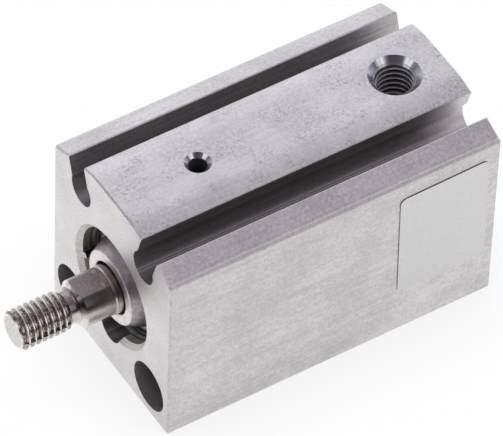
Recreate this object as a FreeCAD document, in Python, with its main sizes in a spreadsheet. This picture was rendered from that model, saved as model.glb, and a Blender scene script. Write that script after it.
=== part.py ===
import FreeCAD, Part
import math
import os
import Sketcher

# Short-stroke pneumatic cylinder, single acting with a spring return.
# The origin is where the rod axis meets the front face. The rod points to -Y, the supply port to +Z and
# the label side to +X. The rod is drawn in.

SIZES = [
    # Extruded body
    ("body_length", 43.6),
    ("body_width", 25.0),
    ("axis_height", 12.95),
    ("rib_height", 14.8),
    ("crown_width", 8.2),
    ("crown_radius", 8.0),
    ("flange_edge_height", 11.95),
    ("flange_slope", 22.1),
    ("flange_edge_radius", 0.3),
    ("base_edge_radius", 0.25),
    ("slot_edge_radius", 0.2),
    ("end_chamfer", 0.2),
    ("slot_offset", 6.66),
    ("slot_height", 10.0),
    ("slot_diameter", 4.05),
    ("slot_neck_width", 3.4),
    ("slot_lean", 17.0),
    # Bores of the body
    ("mouth_diameter", 15.5),
    ("mouth_depth", 0.6),
    ("seat_diameter", 14.3),
    ("seat_depth", 9.0),
    ("bore_diameter", 12.0),
    ("rear_wall", 4.0),
    ("groove_front", 1.55),
    ("groove_diameter", 15.3),
    ("notch_diameter", 4.0),
    ("notch_drop", 6.85),
    # Mounting holes
    ("bolt_spacing", 16.8),
    ("bolt_drop", 8.65),
    ("bolt_hole_diameter", 3.4),
    ("counterbore_diameter", 6.3),
    ("counterbore_depth", 3.6),
    # Supply port and vent
    ("port_set_back", 6.4),
    ("port_diameter", 5.0),
    ("port_depth", 6.0),
    ("port_mouth_diameter", 6.3),
    ("passage_diameter", 2.4),
    ("vent_set_back", 2.1),
    ("vent_diameter", 2.2),
    ("vent_mouth_diameter", 3.2),
    # Bearing cap, snap ring, bush, wiper and cap seal
    ("ring_wire", 1.0),
    ("ring_gap_angle", 70.0),
    ("ring_gap_turn", 45.0),
    ("hook_wire", 0.8),
    ("hook_offset", 6.6),
    ("hook_front", 0.45),
    ("fit_gap", 0.05),
    ("nose_projection", 0.12),
    ("nose_diameter", 9.2),
    ("nose_angle", 25.0),
    ("nose_edge_radius", 0.2),
    ("nose_hole_diameter", 6.6),
    ("nose_hole_chamfer", 0.08),
    ("nose_lip", 1.2),
    ("boss_diameter", 9.1),
    ("bush_wall", 0.75),
    ("wiper_length", 1.8),
    ("seal_set_back", 4.0),
    ("seal_section", 1.35),
    ("seal_groove_width", 1.9),
    # Piston rod
    ("rod_diameter", 6.0),
    ("rod_clearance", 0.03),
    ("rod_projection", 12.8),
    ("thread_diameter", 5.0),
    ("thread_length", 6.6),
    ("tip_chamfer", 0.5),
    ("neck_diameter", 3.9),
    ("neck_length", 1.05),
    ("neck_fillet", 0.4),
    ("head_diameter", 5.8),
    ("head_step", 1.0),
    ("shoulder_chamfer", 0.45),
    ("flats_across", 5.0),
    ("flats_length", 3.3),
    ("stub_diameter", 4.0),
    # Piston
    ("stroke", 10.0),
    ("piston_gap", 0.1),
    ("front_disc", 2.6),
    ("magnet_length", 1.8),
    ("magnet_inset", 0.6),
    ("rear_disc", 4.6),
    ("guide_width", 1.4),
    ("guide_depth", 0.8),
    ("guide_clearance", 0.04),
    ("cup_width", 2.0),
    ("cup_depth", 1.0),
    ("stub_seal_section", 0.8),
    ("washer_thickness", 0.4),
    ("nut_across", 7.0),
    ("nut_height", 1.7),
    ("nut_recess_diameter", 8.4),
    # Bumpers and spring
    ("front_bumper_length", 1.55),
    ("rear_bumper_length", 2.95),
    ("rear_bumper_outer", 10.6),
    ("rear_bumper_inner", 7.2),
    ("spring_wire", 0.8),
    ("spring_mean_diameter", 10.5),
    ("spring_turns", 8.0),
    # Side label
    ("label_length", 11.85),
    ("label_height", 15.9),
    ("label_thickness", 0.1),
    ("label_rear_margin", 1.4),
    ("label_top", 9.65),
    ("label_corner_radius", 0.8),
    ("label_tilt", 1.2),
]

doc = FreeCAD.newDocument("ShortStrokeCylinder")
sheet = doc.addObject("Spreadsheet::Sheet", "Sizes")
for row, (alias, value) in enumerate(SIZES, start=1):
    sheet.set(f"A{row}", alias)
    sheet.set(f"B{row}", str(value))
    sheet.setAlias(f"B{row}", alias)
doc.recompute()


# Derived sizes, as expressions on the sheet. Places along the rod axis are measured from the front face.

def half(alias):
    return f"(Sizes.{alias} / 2)"


BORE_DEPTH = "(Sizes.body_length - Sizes.rear_wall)"
SEAT_RADIUS = half("seat_diameter")
BORE_RADIUS = half("bore_diameter")
GROOVE_REAR = "(Sizes.groove_front + Sizes.ring_wire + Sizes.fit_gap)"
NECK_MOUTH = "(Sizes.slot_offset + (Sizes.rib_height - Sizes.slot_height) * tan(Sizes.slot_lean * 1 deg))"
FLANGE_TOP = (
    f"(Sizes.flange_edge_height + ({half('body_width')} - {NECK_MOUTH}) * tan(Sizes.flange_slope * 1 deg))"
)
PORT_PLACE = "(Sizes.body_length - Sizes.port_set_back)"
VENT_PLACE = "(Sizes.seat_depth + Sizes.vent_set_back)"
TOP_HOLE_END = f"({BORE_RADIUS} / 2)"

PISTON_REAR = f"({BORE_DEPTH} - Sizes.rear_bumper_length - Sizes.fit_gap)"
REAR_DISC_FRONT = f"({PISTON_REAR} - Sizes.rear_disc)"
MAGNET_FRONT = f"({REAR_DISC_FRONT} - Sizes.magnet_length)"
PISTON_FRONT = f"({MAGNET_FRONT} - Sizes.front_disc)"
PISTON_RADIUS = f"({BORE_RADIUS} - Sizes.piston_gap)"

BUMPER_REAR = f"({PISTON_FRONT} - Sizes.stroke - Sizes.fit_gap)"
BOSS_END = f"({BUMPER_REAR} - Sizes.front_bumper_length)"
CAP_RADIUS = f"({SEAT_RADIUS} - Sizes.fit_gap)"
ROD_RADIUS = half("rod_diameter")
RUNNING_RADIUS = f"({ROD_RADIUS} + Sizes.rod_clearance)"
BUSH_RADIUS = f"({RUNNING_RADIUS} + Sizes.bush_wall)"
NOSE_FRONT = "(-Sizes.nose_projection)"
WIPER_FRONT = f"({NOSE_FRONT} + Sizes.nose_lip)"
BUSH_FRONT = f"({WIPER_FRONT} + Sizes.wiper_length)"
NOSE_ROOT = (
    f"({half('nose_diameter')} + ({GROOVE_REAR} + Sizes.nose_projection) * tan(Sizes.nose_angle * 1 deg))"
)
SEAL_FRONT = "Sizes.seal_set_back"
SEAL_REAR = "(Sizes.seal_set_back + Sizes.seal_groove_width)"
SEAL_FLOOR = f"({SEAT_RADIUS} - Sizes.seal_section)"

TIP = "(-Sizes.rod_projection)"
THREAD_END = f"({TIP} + Sizes.thread_length)"
SHOULDER = f"({THREAD_END} + Sizes.neck_length)"
STUB_RADIUS = half("stub_diameter")
STUB_FIT = f"({STUB_RADIUS} + Sizes.fit_gap / 2)"
NUT_REAR = f"({PISTON_REAR} - Sizes.fit_gap * 2)"
NUT_FRONT = f"({NUT_REAR} - Sizes.nut_height)"
WASHER_FRONT = f"({NUT_FRONT} - Sizes.washer_thickness)"
GUIDE_FLOOR = f"({PISTON_RADIUS} - Sizes.guide_depth)"
GUIDE_FRONT = f"({PISTON_FRONT} + (Sizes.front_disc - Sizes.guide_width) / 2)"
GUIDE_REAR = f"({GUIDE_FRONT} + Sizes.guide_width)"
CUP_FLOOR = f"({PISTON_RADIUS} - Sizes.cup_depth)"
CUP_FRONT = f"({REAR_DISC_FRONT} + (Sizes.rear_disc - Sizes.cup_width) / 2)"
CUP_REAR = f"({CUP_FRONT} + Sizes.cup_width)"
SLIDING_RADIUS = f"({BORE_RADIUS} - Sizes.guide_clearance)"


# Lip seal, as shares of its groove's width and depth
HEEL_SHARE = 0.45
WAIST_SHARE = 0.2
LIP_SHARE = 0.25

# Lengths that differ by less count as the same, and an edge within the angle of an axis runs along it
SAME_LENGTH = 1e-6
PARALLEL_ANGLE = 2.5


# Helpers

def value_of(expression):
    return float(sheet.evalExpression(expression))


def same(length, other):
    return abs(length - other) < SAME_LENGTH


def runs_along(edge, axis):
    """The edge sets off along the axis, either way."""
    turn = math.degrees(edge.tangentAt(edge.FirstParameter).getAngle(axis))
    return min(turn, 180 - turn) < PARALLEL_ANGLE


def new_body(name):
    body = doc.addObject("PartDesign::Body", name)
    body.Label = name
    return body


def new_sketch(body, name, role):
    plane = next(item for item in body.Origin.OriginFeatures if item.Role == role)
    sketch = body.newObject("Sketcher::SketchObject", name)
    sketch.AttachmentSupport = [(plane, "")]
    sketch.MapMode = "FlatFace"
    return sketch


def dimension(sketch, constraint, expression):
    index = sketch.addConstraint(constraint)
    sketch.setExpression(f"Constraints[{index}]", expression)


def add_polygon(sketch, points):
    """Closed outline whose corners are each dimensioned from the sketch's origin."""
    corners = [FreeCAD.Vector(value_of(across), value_of(up), 0) for across, up in points]
    count = len(corners)
    first = sketch.GeometryCount
    for index, corner in enumerate(corners):
        sketch.addGeometry(Part.LineSegment(corner, corners[(index + 1) % count]))
    for index in range(count):
        following = first + (index + 1) % count
        sketch.addConstraint(Sketcher.Constraint("Coincident", first + index, 2, following, 1))
    for index, (across, up) in enumerate(points):
        line = first + index
        corner = corners[index]
        dimension(sketch, Sketcher.Constraint("DistanceX", -1, 1, line, 1, corner.x), across)
        dimension(sketch, Sketcher.Constraint("DistanceY", -1, 1, line, 1, corner.y), up)


def add_circle(sketch, across, up, radius):
    centre = FreeCAD.Vector(value_of(across), value_of(up), 0)
    size = value_of(radius)
    circle = sketch.addGeometry(Part.Circle(centre, FreeCAD.Vector(0, 0, 1), size))
    dimension(sketch, Sketcher.Constraint("DistanceX", -1, 1, circle, 3, centre.x), across)
    dimension(sketch, Sketcher.Constraint("DistanceY", -1, 1, circle, 3, centre.y), up)
    dimension(sketch, Sketcher.Constraint("Radius", circle, size), radius)


def revolve(body, name, points):
    """Solid turned about the rod axis from an outline of (radius, place along the axis)."""
    sketch = new_sketch(body, f"{name}_profile", "XY_Plane")
    add_polygon(sketch, points)
    feature = body.newObject("PartDesign::Revolution", name)
    feature.Profile = sketch
    feature.ReferenceAxis = (sketch, ["V_Axis"])
    feature.Angle = 360
    doc.recompute()
    return feature


def cut_made(body, feature):
    """The feature has taken material away from its body."""
    doc.recompute()
    before = feature.BaseFeature.Shape.Volume
    if feature.Shape.Volume >= before:
        raise RuntimeError(f"{feature.Name} on {body.Label} cuts nothing")


def turn_away(body, name, sketch):
    """Cut turned about the sketch's upright axis."""
    feature = body.newObject("PartDesign::Groove", name)
    feature.Profile = sketch
    feature.ReferenceAxis = (sketch, ["V_Axis"])
    feature.Angle = 360
    cut_made(body, feature)


def pocket(body, name, sketch, depth=None, reverse=False):
    """Cut with a sketch, to a depth or right through."""
    feature = body.newObject("PartDesign::Pocket", name)
    feature.Profile = sketch
    feature.Reversed = reverse
    if depth is None:
        feature.Type = "ThroughAll"
    else:
        feature.Type = "Length"
        feature.setExpression("Length", depth)
    cut_made(body, feature)


def dress_edges(body, name, kind, size, chosen):
    """Fillet or chamfer on the tip's edges that the given test picks by their middle points."""
    base = body.Tip
    names = []
    for index, edge in enumerate(base.Shape.Edges, start=1):
        middle = edge.valueAt((edge.FirstParameter + edge.LastParameter) / 2)
        if chosen(edge, middle):
            names.append(f"Edge{index}")
    if not names:
        raise RuntimeError(f"no edge for {name} on {body.Label}")
    feature = body.newObject(f"PartDesign::{kind}", name)
    feature.Base = (base, names)
    feature.setExpression("Radius" if kind == "Fillet" else "Size", size)
    doc.recompute()


def ring(name, inner, outer, front, rear):
    """Plain ring on the rod axis."""
    body = new_body(name)
    revolve(body, "turned", [(inner, front), (outer, front), (outer, rear), (inner, rear)])
    return body


def o_ring(name, inner, section, front):
    """Round-section ring on the rod axis that starts at the given place."""
    body = new_body(name)
    sketch = new_sketch(body, "section", "XY_Plane")
    add_circle(sketch, f"{inner} + {section} / 2", f"{front} + {section} / 2", f"{section} / 2")
    feature = body.newObject("PartDesign::Revolution", "turned")
    feature.Profile = sketch
    feature.ReferenceAxis = (sketch, ["V_Axis"])
    feature.Angle = 360
    doc.recompute()
    return body


# Housing

def slot_corner(side, across, along):
    """Point of a slot neck: across is signed half widths, along runs up the leaning neck."""
    lean = "Sizes.slot_lean * 1 deg"
    place = f"Sizes.slot_offset + {across} * cos({lean}) + {along} * sin({lean})"
    height = f"Sizes.slot_height - {across} * sin({lean}) + {along} * cos({lean})"
    return f"{side} * ({place})", height


def top_hole(body, name, place, mouth, radius, lower):
    """Hole down from the rib with a countersunk mouth, open to the bore at its lower end."""
    sketch = new_sketch(body, f"{name}_profile", "YZ_Plane")
    sketch.setExpression("AttachmentOffset.Base.x", place)
    shoulder = f"Sizes.rib_height - ({mouth} - {radius})"
    add_polygon(sketch, [("0", "Sizes.rib_height"), (mouth, "Sizes.rib_height"), (radius, shoulder)] + lower)
    turn_away(body, name, sketch)


def make_housing():
    body = new_body("housing")
    section = new_sketch(body, "section", "XZ_Plane")
    side = half("body_width")
    right = [
        (side, "-Sizes.axis_height"),
        (side, "Sizes.flange_edge_height"),
        (NECK_MOUTH, FLANGE_TOP),
        (half("crown_width"), "Sizes.rib_height"),
    ]
    left = [(f"-{across}", up) for across, up in reversed(right)]
    add_polygon(section, right + left)
    extrusion = body.newObject("PartDesign::Pad", "extrusion")
    extrusion.Profile = section
    extrusion.Reversed = True
    extrusion.setExpression("Length", "Sizes.body_length")
    doc.recompute()

    def lengthways(edge):
        return runs_along(edge, FreeCAD.Vector(0, 1, 0))

    def round_pair(name, across, up, radius):
        """Rounds the two lengthways edges that lie the same way out on both sides."""
        out = value_of(across)
        height = value_of(up)

        def chosen(edge, middle):
            return lengthways(edge) and same(abs(middle.x), out) and same(middle.z, height)

        dress_edges(body, name, "Fillet", radius, chosen)

    round_pair("flange_rounding", side, "Sizes.flange_edge_height", "Sizes.flange_edge_radius")
    round_pair("base_rounding", side, "-Sizes.axis_height", "Sizes.base_edge_radius")
    round_pair("crown_rounding", half("crown_width"), "Sizes.rib_height", "Sizes.crown_radius")
    for end, place in (("front", 0), ("rear", value_of("Sizes.body_length"))):
        dress_edges(
            body,
            f"{end}_edge_break",
            "Chamfer",
            "Sizes.end_chamfer",
            lambda edge, middle: all(same(vertex.Y, place) for vertex in edge.Vertexes),
        )

    floors = new_sketch(body, "slot_floors", "XZ_Plane")
    necks = new_sketch(body, "slot_necks", "XZ_Plane")
    width = half("slot_neck_width")
    reach = "Sizes.rib_height"
    for side_sign in ("1", "-1"):
        add_circle(floors, f"{side_sign} * Sizes.slot_offset", "Sizes.slot_height", half("slot_diameter"))
        outline = [(f"(-{width})", "0"), (width, "0"), (width, reach), (f"(-{width})", reach)]
        add_polygon(necks, [slot_corner(side_sign, across, along) for across, along in outline])
    pocket(body, "sensor_slot_floors", floors)
    pocket(body, "sensor_slot_necks", necks)

    lean = math.radians(value_of("Sizes.slot_lean"))
    offset = value_of("Sizes.slot_offset")
    height = value_of("Sizes.slot_height")
    floor_top = value_of(f"Sizes.slot_height + {half('slot_diameter')}")
    half_neck = value_of(width)

    def on_mouth(edge, middle):
        across = (abs(middle.x) - offset) * math.cos(lean) - (middle.z - height) * math.sin(lean)
        return lengthways(edge) and middle.z > floor_top and same(abs(across), half_neck)

    dress_edges(body, "slot_edge_rounding", "Fillet", "Sizes.slot_edge_radius", on_mouth)

    bore = new_sketch(body, "bore_profile", "XY_Plane")
    mouth = half("mouth_diameter")
    groove = half("groove_diameter")
    add_polygon(bore, [
        ("0", "0"),
        (mouth, "0"),
        (SEAT_RADIUS, "Sizes.mouth_depth"),
        (SEAT_RADIUS, "Sizes.groove_front"),
        (groove, "Sizes.groove_front"),
        (groove, GROOVE_REAR),
        (SEAT_RADIUS, GROOVE_REAR),
        (SEAT_RADIUS, "Sizes.seat_depth"),
        (BORE_RADIUS, "Sizes.seat_depth"),
        (BORE_RADIUS, BORE_DEPTH),
        ("0", BORE_DEPTH),
    ])
    turn_away(body, "stepped_bore", bore)

    notch = new_sketch(body, "notch_circle", "XZ_Plane")
    add_circle(notch, "0", "-Sizes.notch_drop", half("notch_diameter"))
    pocket(body, "access_notch", notch, GROOVE_REAR)

    holes = new_sketch(body, "bolt_circles", "XZ_Plane")
    fronts = new_sketch(body, "front_counterbore_circles", "XZ_Plane")
    rears = new_sketch(body, "rear_counterbore_circles", "XZ_Plane")
    rears.setExpression("AttachmentOffset.Base.z", "-Sizes.body_length")
    for side_sign in ("1", "-1"):
        place = f"{side_sign} * {half('bolt_spacing')}"
        add_circle(holes, place, "-Sizes.bolt_drop", half("bolt_hole_diameter"))
        add_circle(fronts, place, "-Sizes.bolt_drop", half("counterbore_diameter"))
        add_circle(rears, place, "-Sizes.bolt_drop", half("counterbore_diameter"))
    pocket(body, "bolt_holes", holes)
    pocket(body, "front_counterbores", fronts, "Sizes.counterbore_depth")
    pocket(body, "rear_counterbores", rears, "Sizes.counterbore_depth", reverse=True)

    port_floor = "(Sizes.rib_height - Sizes.port_depth)"
    top_hole(body, "supply_port", PORT_PLACE, half("port_mouth_diameter"), half("port_diameter"), [
        (half("port_diameter"), port_floor),
        (half("passage_diameter"), port_floor),
        (half("passage_diameter"), TOP_HOLE_END),
        ("0", TOP_HOLE_END),
    ])
    top_hole(body, "vent_hole", VENT_PLACE, half("vent_mouth_diameter"), half("vent_diameter"), [
        (half("vent_diameter"), TOP_HOLE_END),
        ("0", TOP_HOLE_END),
    ])
    return body


# Front end: bearing cap and what it carries

def make_bearing_cap():
    body = new_body("bearing_cap")
    hole = half("nose_hole_diameter")
    nose = half("nose_diameter")
    boss = half("boss_diameter")
    revolve(body, "turned", [
        (hole, f"{NOSE_FRONT} + Sizes.nose_hole_chamfer"),
        (f"{hole} + Sizes.nose_hole_chamfer", NOSE_FRONT),
        (nose, NOSE_FRONT),
        (NOSE_ROOT, GROOVE_REAR),
        (CAP_RADIUS, GROOVE_REAR),
        (CAP_RADIUS, SEAL_FRONT),
        (SEAL_FLOOR, SEAL_FRONT),
        (SEAL_FLOOR, SEAL_REAR),
        (CAP_RADIUS, SEAL_REAR),
        (CAP_RADIUS, "Sizes.seat_depth"),
        (boss, "Sizes.seat_depth"),
        (boss, BOSS_END),
        (BUSH_RADIUS, BOSS_END),
        (BUSH_RADIUS, WIPER_FRONT),
        (hole, WIPER_FRONT),
    ])
    front = value_of(NOSE_FRONT)
    rim = value_of(nose)

    def on_rim(edge, middle):
        return same(middle.y, front) and same(math.hypot(middle.x, middle.z), rim)

    dress_edges(body, "nose_rounding", "Fillet", "Sizes.nose_edge_radius", on_rim)
    return body


def make_snap_ring():
    """Open ring of round wire on the cap's flange, with one end bent forward beside the access notch."""
    body = new_body("snap_ring")
    sketch = new_sketch(body, "section", "YZ_Plane")
    wire = half("ring_wire")
    middle = f"({GROOVE_REAR} - {wire})"
    add_circle(sketch, middle, f"{half('groove_diameter')} - Sizes.fit_gap - {wire}", wire)
    feature = body.newObject("PartDesign::Revolution", "bent_wire")
    feature.Profile = sketch
    feature.ReferenceAxis = (sketch, ["H_Axis"])
    feature.Midplane = True
    feature.setExpression("Angle", "360 - Sizes.ring_gap_angle")
    doc.recompute()
    hook = new_sketch(body, "hook_section", "XZ_Plane")
    hook.setExpression("AttachmentOffset.Base.z", f"-{middle}")
    end_turn = "(Sizes.ring_gap_angle / 2 * 1 deg)"
    across = f"-Sizes.hook_offset * sin({end_turn})"
    up = f"-Sizes.hook_offset * cos({end_turn})"
    add_circle(hook, across, up, half("hook_wire"))
    feature = body.newObject("PartDesign::Pad", "hook")
    feature.Profile = hook
    feature.setExpression("Length", f"{middle} - Sizes.hook_front")
    body.Placement = FreeCAD.Placement(FreeCAD.Vector(), FreeCAD.Rotation(FreeCAD.Vector(0, 1, 0), 1))
    body.setExpression("Placement.Rotation.Angle", "Sizes.ring_gap_turn")
    doc.recompute()
    return body


def make_front_end():
    bush = ring("guide_bush", RUNNING_RADIUS, BUSH_RADIUS, BUSH_FRONT, BOSS_END)
    wiper = ring("rod_wiper", RUNNING_RADIUS, BUSH_RADIUS, WIPER_FRONT, BUSH_FRONT)
    seal_place = f"({SEAL_FRONT} + (Sizes.seal_groove_width - Sizes.seal_section) / 2)"
    seal = o_ring("cap_o_ring", SEAL_FLOOR, "Sizes.seal_section", seal_place)
    bumper = ring("front_bumper", half("nose_hole_diameter"), half("boss_diameter"), BOSS_END, BUMPER_REAR)
    return [make_bearing_cap(), make_snap_ring(), bush, wiper, seal, bumper]


# Piston rod with its threaded end, neck, spanner flats and the stub that takes the piston

def make_piston_rod():
    body = new_body("piston_rod")
    thread = half("thread_diameter")
    neck = half("neck_diameter")
    head = half("head_diameter")
    run_out = f"({thread} - {neck})"
    revolve(body, "turned", [
        ("0", TIP),
        (f"{thread} - Sizes.tip_chamfer", TIP),
        (thread, f"{TIP} + Sizes.tip_chamfer"),
        (thread, f"{THREAD_END} - {run_out}"),
        (neck, THREAD_END),
        (neck, SHOULDER),
        (f"{head} - Sizes.shoulder_chamfer", SHOULDER),
        (head, f"{SHOULDER} + Sizes.shoulder_chamfer"),
        (head, f"-Sizes.head_step - ({ROD_RADIUS} - {head}) * 2"),
        (ROD_RADIUS, "-Sizes.head_step"),
        (ROD_RADIUS, PISTON_FRONT),
        (STUB_RADIUS, PISTON_FRONT),
        (STUB_RADIUS, NUT_REAR),
        ("0", NUT_REAR),
    ])
    root = value_of(SHOULDER)
    neck_radius = value_of(neck)

    def at_root(edge, middle):
        return same(middle.y, root) and same(math.hypot(middle.x, middle.z), neck_radius)

    dress_edges(body, "neck_rounding", "Fillet", "Sizes.neck_fillet", at_root)

    flats = new_sketch(body, "flat_outlines", "YZ_Plane")
    inner = half("flats_across")
    end = f"{SHOULDER} + Sizes.flats_length"
    for sign in ("1", "-1"):
        near = f"{sign} * {inner}"
        far = f"{sign} * Sizes.rod_diameter"
        add_polygon(flats, [(SHOULDER, near), (end, near), (end, far), (SHOULDER, far)])
    cut = body.newObject("PartDesign::Pocket", "spanner_flats")
    cut.Profile = flats
    cut.Type = "ThroughAll"
    cut.Midplane = True
    cut_made(body, cut)
    return body


# Piston and what is clamped with it

def make_piston_seal():
    """Lip seal: a cup that opens towards the pressure side at the rear."""
    body = new_body("piston_seal")
    heel = f"({CUP_FRONT} + Sizes.cup_width * {HEEL_SHARE})"
    middle = f"(({CUP_FLOOR} + {SLIDING_RADIUS}) / 2)"
    waist = f"({PISTON_RADIUS} - Sizes.cup_depth * {WAIST_SHARE})"
    revolve(body, "turned", [
        (CUP_FLOOR, CUP_FRONT),
        (PISTON_RADIUS, CUP_FRONT),
        (waist, heel),
        (SLIDING_RADIUS, CUP_REAR),
        (f"{SLIDING_RADIUS} - Sizes.cup_depth * {LIP_SHARE}", CUP_REAR),
        (middle, heel),
        (f"{CUP_FLOOR} + Sizes.cup_depth * {LIP_SHARE}", CUP_REAR),
        (CUP_FLOOR, CUP_REAR),
    ])
    return body


def make_piston_nut():
    body = new_body("piston_nut")
    sketch = new_sketch(body, "hexagon", "XZ_Plane")
    sketch.setExpression("AttachmentOffset.Base.z", f"-{NUT_FRONT}")
    corner = "Sizes.nut_across / 2 / cos(30 deg)"
    corners = []
    for index in range(6):
        turn = f"{60 * index} deg"
        corners.append((f"{corner} * cos({turn})", f"{corner} * sin({turn})"))
    add_polygon(sketch, corners)
    add_circle(sketch, "0", "0", STUB_FIT)
    pad = body.newObject("PartDesign::Pad", "blank")
    pad.Profile = sketch
    pad.Reversed = True
    pad.setExpression("Length", "Sizes.nut_height")
    doc.recompute()
    return body


def make_piston():
    front = new_body("piston_front")
    revolve(front, "turned", [
        (STUB_FIT, PISTON_FRONT),
        (PISTON_RADIUS, PISTON_FRONT),
        (PISTON_RADIUS, GUIDE_FRONT),
        (GUIDE_FLOOR, GUIDE_FRONT),
        (GUIDE_FLOOR, GUIDE_REAR),
        (PISTON_RADIUS, GUIDE_REAR),
        (PISTON_RADIUS, MAGNET_FRONT),
        (STUB_FIT, MAGNET_FRONT),
    ])
    rear = new_body("piston_rear")
    recess = half("nut_recess_diameter")
    stub_seal = f"({STUB_RADIUS} + Sizes.stub_seal_section + Sizes.fit_gap)"
    stub_seal_rear = f"({REAR_DISC_FRONT} + Sizes.stub_seal_section + Sizes.fit_gap)"
    revolve(rear, "turned", [
        (stub_seal, REAR_DISC_FRONT),
        (PISTON_RADIUS, REAR_DISC_FRONT),
        (PISTON_RADIUS, CUP_FRONT),
        (CUP_FLOOR, CUP_FRONT),
        (CUP_FLOOR, CUP_REAR),
        (PISTON_RADIUS, CUP_REAR),
        (PISTON_RADIUS, PISTON_REAR),
        (recess, PISTON_REAR),
        (recess, WASHER_FRONT),
        (STUB_FIT, WASHER_FRONT),
        (STUB_FIT, stub_seal_rear),
        (stub_seal, stub_seal_rear),
    ])
    guide = ring("guide_ring", GUIDE_FLOOR, SLIDING_RADIUS, GUIDE_FRONT, GUIDE_REAR)
    magnet_rim = f"{PISTON_RADIUS} - Sizes.magnet_inset"
    magnet = ring("magnet_ring", STUB_FIT, magnet_rim, MAGNET_FRONT, REAR_DISC_FRONT)
    stub_ring = o_ring("rod_o_ring", STUB_RADIUS, "Sizes.stub_seal_section", REAR_DISC_FRONT)
    washer_rim = f"{half('nut_recess_diameter')} - Sizes.fit_gap * 4"
    washer = ring("piston_washer", STUB_FIT, washer_rim, WASHER_FRONT, NUT_FRONT)
    return [front, rear, guide, magnet, stub_ring, washer, make_piston_seal(), make_piston_nut()]


# Return spring, rear bumper and side label

def make_return_spring():
    body = new_body("return_spring")
    sketch = new_sketch(body, "wire", "XY_Plane")
    wire = half("spring_wire")
    add_circle(sketch, half("spring_mean_diameter"), f"Sizes.seat_depth + {wire}", wire)
    coil = body.newObject("PartDesign::AdditiveHelix", "coil")
    coil.Profile = sketch
    coil.ReferenceAxis = (sketch, ["V_Axis"])
    coil.Mode = "height-turns-angle"
    coil.setExpression("Height", f"{PISTON_FRONT} - Sizes.seat_depth - Sizes.spring_wire")
    coil.setExpression("Turns", "Sizes.spring_turns")
    doc.recompute()
    return body


def make_side_label():
    body = new_body("side_label")
    sketch = new_sketch(body, "outline", "YZ_Plane")
    sketch.setExpression("AttachmentOffset.Base.z", half("body_width"))
    middle_place = f"(Sizes.body_length - Sizes.label_rear_margin - {half('label_length')})"
    middle_height = f"(Sizes.label_top - {half('label_height')})"
    cosine = "cos(Sizes.label_tilt * 1 deg)"
    sine = "sin(Sizes.label_tilt * 1 deg)"
    corners = []
    for along, up in (("-1", "-1"), ("1", "-1"), ("1", "1"), ("-1", "1")):
        run = f"{along} * {half('label_length')}"
        rise = f"{up} * {half('label_height')}"
        corners.append((
            f"{middle_place} + {run} * {cosine} - {rise} * {sine}",
            f"{middle_height} + {run} * {sine} + {rise} * {cosine}",
        ))
    add_polygon(sketch, corners)
    sheet_of_foil = body.newObject("PartDesign::Pad", "foil")
    sheet_of_foil.Profile = sketch
    sheet_of_foil.setExpression("Length", "Sizes.label_thickness")
    doc.recompute()
    dress_edges(
        body,
        "corner_rounding",
        "Fillet",
        "Sizes.label_corner_radius",
        lambda edge, middle: runs_along(edge, FreeCAD.Vector(1, 0, 0)),
    )
    return body


subparts = [make_housing()]
subparts += make_front_end()
subparts.append(make_return_spring())
subparts.append(make_piston_rod())
subparts += make_piston()
subparts.append(ring(
    "rear_bumper",
    half("rear_bumper_inner"),
    half("rear_bumper_outer"),
    f"{BORE_DEPTH} - Sizes.rear_bumper_length",
    BORE_DEPTH,
))
subparts.append(make_side_label())
doc.recompute()

for item in doc.Objects:
    if "Invalid" in item.State or "Error" in item.State:
        raise RuntimeError(f"{item.Label} failed: {item.State}")
for part in subparts:
    if part.Shape.isNull() or not part.Shape.isValid() or len(part.Shape.Solids) != 1:
        raise RuntimeError(f"{part.Label} is not one valid solid")

os.makedirs("parts", exist_ok=True)
for part in subparts:
    part.Shape.exportStep(f"parts/{part.Label}.step")
    print(part.Label, round(part.Shape.Volume, 3))
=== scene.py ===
import math

import bmesh
import bpy
from mathutils import Matrix, Vector


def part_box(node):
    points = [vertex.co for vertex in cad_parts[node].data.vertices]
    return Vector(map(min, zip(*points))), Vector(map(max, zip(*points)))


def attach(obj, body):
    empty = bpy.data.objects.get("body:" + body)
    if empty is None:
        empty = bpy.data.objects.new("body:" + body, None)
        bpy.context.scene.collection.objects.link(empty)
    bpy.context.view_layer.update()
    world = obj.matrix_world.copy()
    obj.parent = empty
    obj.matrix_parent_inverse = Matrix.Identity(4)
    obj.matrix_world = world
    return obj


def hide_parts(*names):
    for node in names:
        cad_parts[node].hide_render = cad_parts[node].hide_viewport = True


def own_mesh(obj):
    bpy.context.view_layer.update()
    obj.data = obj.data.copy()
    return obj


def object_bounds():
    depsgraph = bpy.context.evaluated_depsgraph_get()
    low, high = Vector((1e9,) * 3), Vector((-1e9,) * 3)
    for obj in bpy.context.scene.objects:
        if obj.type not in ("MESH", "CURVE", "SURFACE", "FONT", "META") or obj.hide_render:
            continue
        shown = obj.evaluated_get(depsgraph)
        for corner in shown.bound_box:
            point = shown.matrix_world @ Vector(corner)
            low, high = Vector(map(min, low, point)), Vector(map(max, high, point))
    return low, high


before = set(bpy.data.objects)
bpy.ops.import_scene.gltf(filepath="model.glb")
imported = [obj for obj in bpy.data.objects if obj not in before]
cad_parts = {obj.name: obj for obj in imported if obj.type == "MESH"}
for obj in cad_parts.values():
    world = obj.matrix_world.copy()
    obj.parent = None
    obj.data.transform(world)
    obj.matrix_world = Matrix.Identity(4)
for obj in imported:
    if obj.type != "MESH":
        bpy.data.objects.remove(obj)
cad_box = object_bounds()

# Sizes in metres, in the CAD frame: the rod axis is Y, the front face is at y = 0 and the port points up.
MM = 0.001
TURN = 2 * math.pi
ROD_AXIS = (0.0, 0.0)
WELD_DISTANCE = 1e-7

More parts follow.
